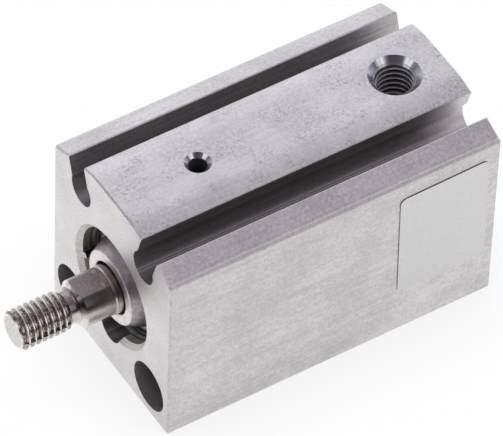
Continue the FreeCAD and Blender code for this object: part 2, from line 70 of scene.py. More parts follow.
# Piston rod, from its tip to the stub in the piston
ROD_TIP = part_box("piston_rod")[0].y
ROD_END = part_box("piston_rod")[1].y
ROD_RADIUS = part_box("piston_rod")[1].x
PISTON_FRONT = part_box("piston_front")[0].y
STUB_RADIUS = 2.0 * MM
THREAD_RADIUS = 2.5 * MM
THREAD_PITCH = 0.8 * MM
THREAD_DEPTH = 0.41 * MM
THREAD_LENGTH = 6.6 * MM
THREAD_END = ROD_TIP + THREAD_LENGTH
TIP_CHAMFER = 0.5 * MM
NECK_RADIUS = 1.95 * MM
NECK_LENGTH = 1.05 * MM
NECK_FILLET = 0.4 * MM
NECK_FILLET_STEPS = 4
SHOULDER = THREAD_END + NECK_LENGTH
SHOULDER_CHAMFER = 0.45 * MM
CHAMFER_ROUNDING = 0.06 * MM
HEAD_RADIUS = 2.9 * MM
HEAD_STEP = -0.8 * MM
HEAD_STEP_LENGTH = 0.2 * MM
FLATS_LENGTH = 3.3 * MM
FLATS_END = SHOULDER + FLATS_LENGTH
FLATS_RUN_OUT = 0.3 * MM

# The edges of the spanner flats lie on points of the rod's rings
ROD_STEPS = 128
FLATS_STEP = 21
FLATS_HALF = HEAD_RADIUS * math.sin(TURN * FLATS_STEP / ROD_STEPS)

# Metric thread: where its crest ends and its root begins, as shares of the pitch from the crest's middle
CREST_SHARE = 1 / 16
ROOT_SHARE = 3 / 8

# Holes in the housing's rib. The port's thread starts and runs in by shares of a turn.
RIB_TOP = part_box("housing")[1].z
BODY_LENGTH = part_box("housing")[1].y
PORT_PLACE = BODY_LENGTH - 6.4 * MM
PORT_RADIUS = 2.5 * MM
PORT_MOUTH_RADIUS = 3.15 * MM
PORT_SHOULDER = RIB_TOP - (PORT_MOUTH_RADIUS - PORT_RADIUS)
PORT_DEPTH = 6.0 * MM
PORT_STEPS = 96
PORT_WALL_OVERLAP = 0.01 * MM
PORT_LIP = 0.2 * MM
PORT_LIP_EDGE = 0.04 * MM
PORT_CREST_RADIUS = PORT_RADIUS - THREAD_DEPTH
PORT_HALF_BASE = 0.44 * THREAD_PITCH
PORT_HALF_CREST = 0.09 * THREAD_PITCH
PORT_THREAD_START = 0.19
PORT_THREAD_RUN_IN = 1 / 3
VENT_PLACE = 11.1 * MM
VENT_RADIUS = 1.1 * MM
VENT_MOUTH_RADIUS = 1.6 * MM

# Bore, notch, bolt holes and sensor slots of the housing
MOUTH_RADIUS = 7.75 * MM
MOUTH_DEPTH = 0.6 * MM
SEAT_RADIUS = 7.15 * MM
SEAT_DEPTH = 9.0 * MM
NOTCH_PLACE = (0.0, -6.85 * MM)
NOTCH_RADIUS = 2.0 * MM
NOTCH_DEPTH = 4.0 * MM
HOOK_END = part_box("snap_ring")[0].y
BOLT_PLACE = (8.4 * MM, -8.65 * MM)
BOLT_RADIUS = 3.15 * MM
SLOT_PLACE = (6.66 * MM, 10.0 * MM)
SLOT_RADIUS = 2.025 * MM
SLOT_HALF_NECK = 1.7 * MM
SLOT_LEAN = math.radians(17)

# Return spring
SPRING_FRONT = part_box("return_spring")[0].y
SPRING_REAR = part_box("return_spring")[1].y
SPRING_WIRE = 0.4 * MM
SPRING_RADIUS = 5.25 * MM
SPRING_TURNS = 9.0

# How far a painted area reaches past the edges of its surface, or stays inside them
FINE_MARGIN = 0.01 * MM
MARGIN = 0.02 * MM
BROAD_MARGIN = 0.03 * MM
WIDE_MARGIN = 0.04 * MM
CHAMFER_MARGIN = 0.05 * MM

# Where wear, marks, painted light, painted highlights and painted shade on the housing begin and end
RIB_WEAR_AND_LIGHT_HEIGHTS = (12.9 * MM, 13.6 * MM)
FLANGE_LINE = 12.12 * MM
FLANGE_LINE_WIDTH = 0.13 * MM
FLANGE_HEIGHTS = (11.5 * MM, 11.6 * MM)
SLOT_LINES = (5.40 * MM, 5.64 * MM)
SLOT_LINE_EDGES = (0.02 * MM, 0.08 * MM)
SLOT_LINES_TOP = 9.4 * MM
SLOT_FADE = (BODY_LENGTH - 6.0 * MM, BODY_LENGTH - 1.6 * MM)
SLOT_FADE_STREAKS = 1.2 * MM
SLOT_SIDES = (-1 * MM, 1 * MM)
BOLT_SHADE_DEPTHS = (0.6 * MM, 2.6 * MM)

# The same for the painted light, shade and highlights on the cap, the rod and the port's thread
CAP_SHADE_RADII = (4.6 * MM, 5.8 * MM)
RIGHT_SIDE_PLACES = (0.4 * MM, 1.6 * MM)
RIGHT_SIDE_HEIGHTS = (0.8 * MM, 1.3 * MM)
UNDERSIDE_HEIGHTS = (0.5 * MM, 1.0 * MM)
HEAD_SHADE_DEPTHS = (0.1 * MM, 0.6 * MM)
BRIGHT_CHAMFER_LIMIT = 0.2 * MM
TIP_RIM_LENGTH = 0.12 * MM
TIP_RIM_WIDTH = 0.1 * MM
ROD_CREST_RADII = (THREAD_RADIUS - 0.13 * MM, THREAD_RADIUS - 0.03 * MM)
PORT_CREST_RADII = (PORT_CREST_RADIUS + 0.02 * MM, PORT_CREST_RADIUS + 0.08 * MM)
PORT_FLANK_RADII = (PORT_CREST_RADIUS + 0.05 * MM, PORT_RADIUS)

# Direction that the countersinks' facets face where a dark reflection is painted on them
DARK_REFLECTION_FACING = (0.85, -0.53, 0.0)

# Parts of a noise's range that are stretched to the whole, for softer and for plainer marks
SOFT = (0.30, 0.70)
PLAIN = (0.35, 0.65)

# Floor: its size, the reach of the contact shade, and where its brightness changes in what mirrors it, with a
# painted shadow to the right of the body
FLOOR_SIZE = 3.0
FLOOR_GAP = 0.02 * MM
FLOOR_WHITE = 0.985
CONTACT_REACH = 12 * MM
MIRRORED_LEFT = (-5 * MM, 12 * MM)
MIRRORED_RIGHT = (12 * MM, 35 * MM)
MIRRORED_NEAR = (50 * MM, 130 * MM)

# Directions of the light wall, and of two soft lights to the right and to the left of the camera
LIGHT_WALL = (-0.84, 0.54, 0.0)
SIDE_LIGHTS = ((0.745, 0.398, 0.534), (-0.028, -0.844, 0.534))

# The photograph's camera
CAMERA_PLACE = Vector((0.394213, -0.245112, 0.538310))
CAMERA_TARGET = Vector((0.000067, 0.018539, 0.001215))
CAMERA_ROLL = math.radians(2.4233)
CAMERA_LENS = 452.479
SENSOR_WIDTH = 36
NEAREST_SEEN = 0.01
FURTHEST_SEEN = 20


# Meshes

def mesh_object(name, vertices, faces, sharp_angle=35):
    """Smooth-shaded mesh with merged doubles and sharp edges where it turns by more than the angle."""
    mesh = bpy.data.meshes.new(name)
    mesh.from_pydata(vertices, [], faces)
    piece = bpy.data.objects.new(name, mesh)
    bpy.context.scene.collection.objects.link(piece)
    weld(mesh)
    mesh.shade_smooth()
    mesh.set_sharp_from_angle(angle=math.radians(sharp_angle))
    return piece


def weld(mesh):
    work = bmesh.new()
    work.from_mesh(mesh)
    bmesh.ops.remove_doubles(work, verts=work.verts, dist=WELD_DISTANCE)
    bmesh.ops.dissolve_degenerate(work, edges=work.edges, dist=WELD_DISTANCE)
    bmesh.ops.recalc_face_normals(work, faces=work.faces)
    work.to_mesh(mesh)
    work.free()


def skin(rows):
    """Vertices and faces of a closed skin over rings of as many points each, with both ends capped."""
    count = len(rows[0])
    vertices = [point for row in rows for point in row]
    faces = []
    for row in range(len(rows) - 1):
        for step in range(count):
            following = (step + 1) % count
            low = row * count
            high = low + count
            faces.append((low + step, low + following, high + following, high + step))
    faces.append(tuple(range(count)))
    last = (len(rows) - 1) * count
    faces.append(tuple(reversed(range(last, last + count))))
    return vertices, faces


def thread_drop(share):
    """How deep a metric thread is at a share of its pitch, as a share of its depth."""
    away = abs((share + 0.5) % 1.0 - 0.5)
    return min(max((away - CREST_SHARE) / (ROOT_SHARE - CREST_SHARE), 0.0), 1.0)


# Piston rod with its thread, neck, shoulder and spanner flats

def thread_rows():
    """Rings that climb by one pitch in a turn, cut off at the tip and at the neck."""
    rows_per_pitch = 16
    count = round(THREAD_LENGTH / THREAD_PITCH * rows_per_pitch)
    rows = []
    for row in range(-rows_per_pitch, count + 1):
        ring = []
        for step in range(ROD_STEPS):
            turn = step / ROD_STEPS
            place = ROD_TIP + (row / rows_per_pitch + turn) * THREAD_PITCH
            place = min(max(place, ROD_TIP), THREAD_END)
            radius = THREAD_RADIUS - THREAD_DEPTH * thread_drop(row / rows_per_pitch)
            radius = min(radius, THREAD_RADIUS - TIP_CHAMFER + place - ROD_TIP)
            radius = min(radius, NECK_RADIUS + THREAD_END - place)
            ring.append((radius * math.cos(TURN * turn), place, radius * math.sin(TURN * turn)))
        rows.append(ring)
    return rows


def rod_profile():
    """Radius and place of each ring behind the thread, and whether the flats cut it."""
    profile = []
    for step in range(NECK_FILLET_STEPS + 1):
        angle = TURN / 4 * step / NECK_FILLET_STEPS
        radius = NECK_RADIUS + NECK_FILLET * (1 - math.cos(angle))
        profile.append((radius, SHOULDER - NECK_FILLET + NECK_FILLET * math.sin(angle), False))
    return profile + [
        (HEAD_RADIUS - SHOULDER_CHAMFER, SHOULDER, True),
        (HEAD_RADIUS - CHAMFER_ROUNDING, SHOULDER + SHOULDER_CHAMFER - CHAMFER_ROUNDING, True),
        (HEAD_RADIUS, SHOULDER + SHOULDER_CHAMFER + CHAMFER_ROUNDING, True),
        (HEAD_RADIUS, FLATS_END, True),
        (HEAD_RADIUS, FLATS_END + FLATS_RUN_OUT, False),
        (HEAD_RADIUS, HEAD_STEP - HEAD_STEP_LENGTH, False),
        (ROD_RADIUS, HEAD_STEP, False),
        (ROD_RADIUS, PISTON_FRONT, False),
        (STUB_RADIUS, PISTON_FRONT, False),
        (STUB_RADIUS, ROD_END, False),
    ]


def make_rod():
    rows = thread_rows()
    for radius, place, flat in rod_profile():
        ring = []
        for step in range(ROD_STEPS):
            across = radius * math.cos(TURN * step / ROD_STEPS)
            up = radius * math.sin(TURN * step / ROD_STEPS)
            if flat:
                up = min(max(up, -FLATS_HALF), FLATS_HALF)
            ring.append((across, place, up))
        rows.append(ring)
    piece = mesh_object("threaded_rod", *skin(rows), sharp_angle=20)
    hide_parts("piston_rod")
    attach(piece, "rod")
    return piece


# Supply port: the thread is one helical ridge on the wall of the hole, under the countersink's lower end

def make_port_thread():
    low = RIB_TOP - PORT_DEPTH + 0.5 * THREAD_PITCH
    turns = (PORT_SHOULDER - low) / THREAD_PITCH
    wall_radius = PORT_RADIUS + PORT_WALL_OVERLAP
    rows = []
    for step in range(round(turns * PORT_STEPS) + 1):
        turn = step / PORT_STEPS
        middle = low + turn * THREAD_PITCH
        angle = -TURN * (turn + PORT_THREAD_START)
        full_share = min(1.0, turn / PORT_THREAD_RUN_IN, (turns - turn) / PORT_THREAD_RUN_IN)
        inner = wall_radius - (wall_radius - PORT_CREST_RADIUS) * full_share
        section = (
            (wall_radius, middle - PORT_HALF_BASE),
            (inner, middle - PORT_HALF_CREST),
            (inner, middle + PORT_HALF_CREST),
            (wall_radius, middle + PORT_HALF_BASE),
        )
        ring = []
        for radius, height in section:
            trimmed = max(radius, PORT_RADIUS + height - PORT_SHOULDER)
            ring.append((trimmed * math.cos(angle), PORT_PLACE + trimmed * math.sin(angle), height))
        rows.append(ring)
    piece = mesh_object("port_thread", *skin(rows))
    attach(piece, "barrel")
    return piece


def make_port_lip():
    wall_radius = PORT_RADIUS + PORT_WALL_OVERLAP
    section = (
        (wall_radius, PORT_SHOULDER + PORT_WALL_OVERLAP),
        (PORT_RADIUS - PORT_LIP, PORT_SHOULDER - PORT_LIP),
        (wall_radius, PORT_SHOULDER - PORT_LIP - PORT_LIP_EDGE),
    )
    count = len(section)
    vertices = []
    faces = []
    for step in range(PORT_STEPS):
        angle = TURN * step / PORT_STEPS
        for radius, height in section:
            vertices.append((radius * math.cos(angle), PORT_PLACE + radius * math.sin(angle), height))
        here = step * count
        ahead = (step + 1) % PORT_STEPS * count
        for corner in range(count):
            following = (corner + 1) % count
            faces.append((here + corner, ahead + corner, ahead + following, here + following))
    piece = mesh_object("port_lip", vertices, faces)
    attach(piece, "barrel")
    return piece


# Return spring with closed ends

def make_spring():
    steps = 40
    sides = 12
    length = SPRING_REAR - SPRING_FRONT - 2 * SPRING_WIRE
    closed = 2 * SPRING_WIRE / length
    rows = []
    for step in range(round(SPRING_TURNS * steps) + 1):
        turn = step / steps
        left = SPRING_TURNS - turn
        if turn < 1:
            share = closed * turn
        elif left < 1:
            share = 1 - closed * left
        else:
            share = closed + (1 - 2 * closed) * (turn - 1) / (SPRING_TURNS - 2)
        place = SPRING_FRONT + SPRING_WIRE + length * share
        ring = []
        for side in range(sides):
            angle = TURN * side / sides
            reach = SPRING_RADIUS + SPRING_WIRE * math.cos(angle)
            height = place + SPRING_WIRE * math.sin(angle)
            ring.append((reach * math.cos(TURN * turn), height, reach * math.sin(TURN * turn)))
        rows.append(ring)
    piece = mesh_object("coil_spring", *skin(rows), sharp_angle=60)
    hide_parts("return_spring")
    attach(piece, "barrel")
    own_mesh(piece)
    return piece


# Materials

class Nodes:
    """Short ways to add and join shader nodes."""

    def __init__(self, tree):
        self.tree = tree

    def node(self, kind, **values):
        made = self.tree.nodes.new(kind)
        for key, value in values.items():
            setattr(made, key, value)
        return made

    def join(self, source, target):
        if isinstance(source, (int, float, tuple)):
            target.default_value = source
        else:
            self.tree.links.new(source, target)

    def maths(self, operation, first, second=0.0):
        made = self.node("ShaderNodeMath", operation=operation)
        for value, socket in zip((first, second), made.inputs):
            self.join(value, socket)
        return made.outputs[0]

    def all_of(self, *shares):
        product = shares[0]
        for share in shares[1:]:
            product = self.maths("MULTIPLY", product, share)
        return product

    def squares(self, first, second):
        """Sum of the squares of two values."""
        return self.maths("ADD", self.maths("MULTIPLY", first, first), self.maths("MULTIPLY", second, second))

    def part(self, vector, axis):
        made = self.node("ShaderNodeSeparateXYZ")
        self.join(vector, made.inputs[0])
        return made.outputs[axis]

    def dot(self, vector, direction):
        made = self.node("ShaderNodeVectorMath", operation="DOT_PRODUCT")
        self.join(vector, made.inputs[0])
        made.inputs[1].default_value = direction
        return made.outputs["Value"]

    def spread(self, value, low, high, to_low=0.0, to_high=1.0):
        """Value taken from one range to another, clamped."""
        made = self.node("ShaderNodeMapRange")
        for number, socket in zip((value, low, high, to_low, to_high), made.inputs):
            self.join(number, socket)
        return made.outputs[0]

    def blend(self, share, first, second):
        """Colour between two colours, which are inputs 6 and 7 of a mix node. The result is output 2."""
        made = self.node("ShaderNodeMix", data_type="RGBA")
        self.join(share, made.inputs["Factor"])
        for value, socket in ((first, made.inputs[6]), (second, made.inputs[7])):
            self.join((*value, 1) if isinstance(value, tuple) else value, socket)
        return made.outputs[2]


class Material(Nodes):
    """A Principled material with textures in object space."""

    def __init__(self, name, colour, metallic=0.0, roughness=0.5):
        self.material = bpy.data.materials.new(name)
        self.material.use_nodes = True
        super().__init__(self.material.node_tree)
        self.shader = self.tree.nodes["Principled BSDF"]
        self.shader.inputs["Base Color"].default_value = (*colour, 1)
        self.shader.inputs["Metallic"].default_value = metallic
        self.shader.inputs["Roughness"].default_value = roughness
        coordinates = self.node("ShaderNodeTexCoord")
        self.normal = coordinates.outputs["Normal"]
        self.place = coordinates.outputs["Object"]
        self.across = self.part(self.place, "X")
        self.along = self.part(self.place, "Y")
        self.up = self.part(self.place, "Z")

    def noise(self, scale, detail=3.0, roughness=0.5):
        """Noise whose scale is in cells for each metre along X, Y and Z."""
        scaled = self.node("ShaderNodeMapping")
        self.join(self.place, scaled.inputs["Vector"])
        scaled.inputs["Scale"].default_value = scale
        made = self.node("ShaderNodeTexNoise")
        self.join(scaled.outputs[0], made.inputs["Vector"])
        made.inputs["Scale"].default_value = 1.0
        made.inputs["Detail"].default_value = detail
        made.inputs["Roughness"].default_value = roughness
        return made.outputs[0]

    def offsets(self, axes, centre):
        """How far a point is from a line, along the two axes that the line is square to."""
        places = [self.part(self.place, axis) for axis in axes]
        return [self.maths("SUBTRACT", place, middle) for place, middle in zip(places, centre)]

    def distance(self, axes, centre):
        return self.maths("SQRT", self.squares(*self.offsets(axes, centre)))

    def marks_round(self, axes, centre, count):
        """Noise that changes only with the angle round a line, with about the given number of marks."""
        across, up = self.offsets(axes, centre)
        return self.marks(self.maths("ARCTAN2", up, across), count / TURN)

    def marks(self, value, scale):
        """Noise that changes with one value only."""
        made = self.node("ShaderNodeTexNoise", noise_dimensions="1D")
        self.join(self.maths("MULTIPLY", value, scale), made.inputs["W"])
        made.inputs["Scale"].default_value = 1.0
        made.inputs["Detail"].default_value = 2.0
        return made.outputs[0]

    def colour(self, socket):
        self.join(socket, self.shader.inputs["Base Color"])

    def roughness(self, socket):
        self.join(socket, self.shader.inputs["Roughness"])

    def bump(self, height, depth, strength=1.0):
        """Bump whose height of one stands for a depth in metres."""
        made = self.node("ShaderNodeBump")
        made.inputs["Strength"].default_value = strength
        made.inputs["Distance"].default_value = depth
        self.join(height, made.inputs["Height"])
        self.join(made.outputs[0], self.shader.inputs["Normal"])


# Housing: which points lie in its slots and holes

def slot_share(look):
    """One in the sensor slots, nought on the open faces."""
    aside = look.maths("SUBTRACT", look.maths("ABSOLUTE", look.across), SLOT_PLACE[0])
    above = look.maths("SUBTRACT", look.up, SLOT_PLACE[1])
    floor = look.maths("LESS_THAN", look.squares(aside, above), (SLOT_RADIUS + WIDE_MARGIN) ** 2)
    leaning = look.maths("MULTIPLY", aside, math.cos(SLOT_LEAN))
    from_middle = look.maths("SUBTRACT", leaning, look.maths("MULTIPLY", above, math.sin(SLOT_LEAN)))
    neck = look.maths("LESS_THAN", look.maths("ABSOLUTE", from_middle), SLOT_HALF_NECK + FINE_MARGIN)
    over_floor = look.maths("GREATER_THAN", look.up, SLOT_PLACE[1])
    return look.maths("MAXIMUM", floor, look.maths("MULTIPLY", neck, over_floor))


def bolt_share(look):
    """One in the mounting holes behind the front face."""
    aside = look.maths("SUBTRACT", look.maths("ABSOLUTE", look.across), BOLT_PLACE[0])
    above = look.maths("SUBTRACT", look.up, BOLT_PLACE[1])
    inside = look.maths("LESS_THAN", look.squares(aside, above), (BOLT_RADIUS + WIDE_MARGIN) ** 2)
    return look.all_of(inside, look.maths("GREATER_THAN", look.along, MARGIN))


def bore_shares(look):
    """One on the chamfer of the bore's mouth, on the wall behind it and in the notch below it."""
    radius = look.distance(("X", "Z"), ROD_AXIS)
    behind_face = look.maths("GREATER_THAN", look.along, MARGIN)
    chamfer = look.all_of(
        look.maths("LESS_THAN", radius, MOUTH_RADIUS + MARGIN),
        behind_face,
        look.maths("LESS_THAN", look.along, MOUTH_DEPTH - MARGIN),
    )
    wall = look.all_of(
        look.maths("LESS_THAN", radius, MOUTH_RADIUS),
        look.maths("GREATER_THAN", look.along, MOUTH_DEPTH - MARGIN),
        look.maths("LESS_THAN", look.along, SEAT_DEPTH + MARGIN),
    )
    notch = look.all_of(
        look.maths("LESS_THAN", look.distance(("X", "Z"), NOTCH_PLACE), NOTCH_RADIUS + MARGIN),
        look.maths("GREATER_THAN", radius, SEAT_RADIUS - MARGIN),
        behind_face,
        look.maths("LESS_THAN", look.along, NOTCH_DEPTH),
    )
    return chamfer, wall, notch


def top_hole_shares(look, place, radius, mouth_radius):
    """One on the countersink of a hole in the rib, and one on its wall."""
    distance = look.distance(("X", "Y"), (0.0, place))
    inside = look.all_of(
        look.maths("LESS_THAN", distance, mouth_radius + MARGIN),
        look.maths("LESS_THAN", look.up, RIB_TOP - MARGIN),
        look.maths("GREATER_THAN", look.up, 0.0),
    )
    wall = look.all_of(inside, look.maths("LESS_THAN", distance, radius + BROAD_MARGIN))
    return look.maths("SUBTRACT", inside, wall), wall


# Housing: its colours, each laid over the one before

def extruded_skin(look, streaks, grains):
    """Streaks along the body and fine grains, with painted light that makes the cut ends lighter."""
    patches = look.noise((220, 160, 220), detail=3)
    lines = look.maths("ADD", look.maths("MULTIPLY", streaks, 0.5), look.maths("MULTIPLY", patches, 0.6))
    tone = look.spread(look.maths("ADD", grains, lines), 0.84, 1.26)
    long_side = look.blend(tone, (0.71, 0.685, 0.685), (1.0, 0.97, 0.97))
    # Painted light: the cut ends get a lighter copy of the long sides' colour
    lit_cut_end = look.blend(tone, (0.80, 0.78, 0.77), (1.0, 0.985, 0.975))
    endwise = look.maths("ABSOLUTE", look.part(look.normal, "Y"))
    return look.blend(look.spread(endwise, 0.8, 0.95), long_side, lit_cut_end)


def worn_and_lit_rib(look, coloured):
    """Painted light that makes the rib lighter towards its top, with dark pits and mottling in clusters, all
    of it fainter below the rib.
    """
    on_rib = look.spread(look.up, *RIB_WEAR_AND_LIGHT_HEIGHTS, 0.22, 1.0)
    clusters = look.spread(look.noise((380, 260, 380), detail=2), 0.36, 0.60)
    mottling = look.spread(look.noise((2700, 2000, 2700), detail=3, roughness=0.7), 0.48, 0.70, 0.0, 0.45)
    pits = look.spread(look.noise((4300, 3500, 4300), detail=2), 0.55, 0.72, 0.0, 0.75)
    # Painted light on the rib, strongest on its top
    lighter = look.blend(look.all_of(on_rib, 0.32), coloured, (1.0, 1.0, 1.0))
    spotted = look.all_of(look.maths("MAXIMUM", pits, mottling), clusters, on_rib)
    return look.blend(spotted, lighter, (0.33, 0.31, 0.34))


def flange_bead_and_highlight(look):
    """One on a thin line inside the flange's outer edge, which carries a painted highlight and a bump."""
    outward = look.maths("SUBTRACT", look.maths("ABSOLUTE", look.across), FLANGE_LINE)
    near_line = look.spread(look.maths("ABSOLUTE", outward), 0.0, FLANGE_LINE_WIDTH, 1.0, 0.0)
    return look.all_of(near_line, look.spread(look.up, *FLANGE_HEIGHTS))


def shaded_slots(look, coloured, streaks):
    """Painted shade in the slots, broken by drawing lines and by two painted pale reflection lines, fading
    out with painted light near the rear end, and a little weaker in the left slot.
    """
    # Painted shade, broken by drawing lines along the slots
    drawn = look.spread(look.noise((2600, 9, 2600), detail=3, roughness=0.6), 0.45, 0.70, 0.60, 0.46)
    aside = look.maths("ABSOLUTE", look.across)
    low = look.maths("LESS_THAN", look.up, SLOT_LINES_TOP)
    for line in SLOT_LINES:
        off_line = look.maths("ABSOLUTE", look.maths("SUBTRACT", aside, line))
        # Painted reflection: pale lines low in the slots
        pale = look.all_of(look.spread(off_line, *SLOT_LINE_EDGES, 0.55, 0.0), low)
        drawn = look.all_of(drawn, look.maths("SUBTRACT", 1.0, pale))
    streaked = look.maths("MULTIPLY", look.spread(streaks, *SOFT, -1.0, 1.0), SLOT_FADE_STREAKS)
    # Painted light near the slots' open rear end
    rear = look.spread(look.maths("ADD", look.along, streaked), *SLOT_FADE, 1.0, 0.0)
    far_slot = look.spread(look.across, *SLOT_SIDES, 0.82, 1.0)
    return look.blend(look.all_of(slot_share(look), drawn, rear, far_slot), coloured, (0.028, 0.02, 0.02))


def shaded_bolt_holes(look, coloured):
    # Painted shade in the mounting holes, darker further in
    deeper = look.spread(look.along, *BOLT_SHADE_DEPTHS, 0.26, 0.60)
    return look.blend(look.all_of(bolt_share(look), deeper), coloured, (0.04, 0.02, 0.02))


def shaded_bore(look, coloured):
    """A scored chamfer, painted shade on the wall, and painted shade in the notch broken by brush marks."""
    chamfer, wall, notch = bore_shares(look)
    scores = look.spread(look.marks_round(("X", "Z"), ROD_AXIS, count=140), 0.40, 0.70, 0.08, 0.5)
    scored = look.blend(look.all_of(chamfer, scores), coloured, (0.52, 0.51, 0.40))
    # Painted shade on the bore's wall
    shaded_wall = look.blend(look.all_of(wall, 0.62), scored, (0.46, 0.445, 0.36))
    # Painted shade in the notch, broken by brush marks
    brushed = look.spread(look.marks(look.distance(("X", "Z"), ROD_AXIS), 7000), *PLAIN, 0.45, 0.75)
    return look.blend(look.all_of(notch, brushed), shaded_wall, (0.04, 0.036, 0.033))


def cut_facets(look, place):
    """Bright facets that a countersink leaves round a hole in the rib, and a painted dark reflection on the
    facets that face one way.
    """
    marks = look.marks_round(("X", "Y"), (0.0, place), count=13)
    bright = look.blend(look.spread(marks, 0.38, 0.62), (0.48, 0.48, 0.51), (0.90, 0.90, 0.92))
    # Painted reflection: dark on the facets that face this way
    dark = look.spread(look.dot(look.normal, DARK_REFLECTION_FACING), 0.63, 0.66, 0.0, 0.75)
    return look.blend(dark, bright, (0.20, 0.20, 0.25))


def body_aluminium():
    look = Material("anodised_aluminium", (0.84, 0.82, 0.82), metallic=0.9, roughness=0.5)
    streaks = look.noise((3500, 45, 3500), detail=3)
    grains = look.noise((3000, 2600, 3000), detail=2, roughness=0.6)
    fine = look.noise((6500, 6500, 6500), detail=2)
    bead_and_highlight = flange_bead_and_highlight(look)
    coloured = worn_and_lit_rib(look, extruded_skin(look, streaks, grains))
    # Painted highlight along the flange's bead
    coloured = look.blend(look.all_of(bead_and_highlight, 0.6), coloured, (1.0, 0.98, 1.0))
    coloured = shaded_slots(look, coloured, streaks)
    coloured = shaded_bolt_holes(look, coloured)
    coloured = shaded_bore(look, coloured)

    # Holes in the rib: a bright cut countersink with a painted dark reflection, over painted shade on the
    # wall
    cut = 0.0
    for place, radius, mouth_radius in (
        (PORT_PLACE, PORT_RADIUS, PORT_MOUTH_RADIUS),
        (VENT_PLACE, VENT_RADIUS, VENT_MOUTH_RADIUS),
    ):
        countersink, hole = top_hole_shares(look, place, radius, mouth_radius)
        coloured = look.blend(countersink, coloured, cut_facets(look, place))
        coloured = look.blend(look.all_of(hole, 0.62), coloured, (0.02, 0.019, 0.022))
        cut = look.maths("MAXIMUM", cut, countersink)
    look.colour(coloured)
    satin = look.spread(grains, *SOFT, 0.44, 0.54)
    look.roughness(look.maths("SUBTRACT", satin, look.maths("MULTIPLY", cut, 0.28)))
    rough = look.maths("ADD", look.maths("MULTIPLY", grains, 0.5), look.maths("MULTIPLY", fine, 0.4))
    look.bump(look.maths("ADD", rough, look.maths("MULTIPLY", bead_and_highlight, 1.5)), depth=0.02 * MM)
    return look.material


def cap_aluminium():
    """Turned cap: painted light on its front face, painted shade on its cone, darker still towards the cone's
    outer edge.
    """
    look = Material("cap_aluminium", (0.85, 0.80, 0.80), metallic=0.95, roughness=0.4)
    rings = look.noise((60, 4000, 60), detail=3)
    smears = look.spread(look.noise((1500, 1500, 1500), detail=3), *PLAIN)
    # Painted light for the front face, and painted shade for the cone, darker towards its outer edge
    pale = look.blend(smears, (0.80, 0.75, 0.75), (0.96, 0.91, 0.905))
    shaded_cone_tone = look.blend(smears, (0.42, 0.385, 0.395), (0.62, 0.57, 0.58))
    outer = look.spread(look.distance(("X", "Z"), ROD_AXIS), *CAP_SHADE_RADII, 0.0, 0.35)
    cone = look.blend(outer, shaded_cone_tone, (0.20, 0.17, 0.18))
    forward = look.maths("MULTIPLY", look.part(look.normal, "Y"), -1.0)
    look.colour(look.blend(look.spread(forward, 0.55, 0.9), cone, pale))
    look.roughness(look.spread(rings, *SOFT, 0.34, 0.46))
    look.bump(rings, depth=0.006 * MM)
    return look.material


# Piston rod: ground head and collar with painted light and shade, milled flats, mottled thread, and painted
# highlights on the crests, the step and the cut edges

def rod_shades(look, height):
    """Painted light on the rod's underside, and painted shade on its right side and collar."""
    behind_flats = look.maths("GREATER_THAN", look.along, HEAD_STEP - HEAD_STEP_LENGTH)
    below_flats = look.maths("LESS_THAN", height, FLATS_HALF - BROAD_MARGIN)
    round_side = look.maths("MAXIMUM", behind_flats, below_flats)
    underside = look.all_of(look.spread(look.up, *UNDERSIDE_HEIGHTS, 0.8, 0.0), round_side)
    right_side = look.all_of(
        look.spread(look.across, *RIGHT_SIDE_PLACES, 0.0, 0.85),
        look.spread(look.up, *RIGHT_SIDE_HEIGHTS),
        round_side,
    )
    collar = look.all_of(
        look.maths("GREATER_THAN", look.along, HEAD_STEP),
        look.spread(look.up, *UNDERSIDE_HEIGHTS, 0.2, 0.55),
    )
    head = look.spread(look.along, *HEAD_SHADE_DEPTHS, 1.0, 0.0)
    return underside, look.all_of(look.maths("MAXIMUM", collar, right_side), head)


def milled_share(look, height):
    """One on the spanner flats."""
    return look.all_of(
        look.maths("GREATER_THAN", height, FLATS_HALF - MARGIN),
        look.maths("GREATER_THAN", look.along, SHOULDER),
        look.maths("LESS_THAN", look.along, FLATS_END + FLATS_RUN_OUT),
    )


def painted_edge_highlights(look, height, radius):
    """One on the rim of the tip and on the shoulder's chamfer, apart from its upper right: painted
    highlights.
    """
    chamfer = look.all_of(
        look.maths("GREATER_THAN", look.along, SHOULDER - FINE_MARGIN),
        look.maths("LESS_THAN", look.along, SHOULDER + SHOULDER_CHAMFER),
        look.maths("LESS_THAN", height, FLATS_HALF - CHAMFER_MARGIN),
        look.maths("LESS_THAN", look.maths("MINIMUM", look.across, look.up), BRIGHT_CHAMFER_LIMIT),
    )
    rim = look.all_of(
        look.maths("LESS_THAN", look.along, ROD_TIP + TIP_RIM_LENGTH),
        look.maths("GREATER_THAN", radius, THREAD_RADIUS - TIP_CHAMFER - TIP_RIM_WIDTH),
    )
    return look.maths("MAXIMUM", chamfer, rim)


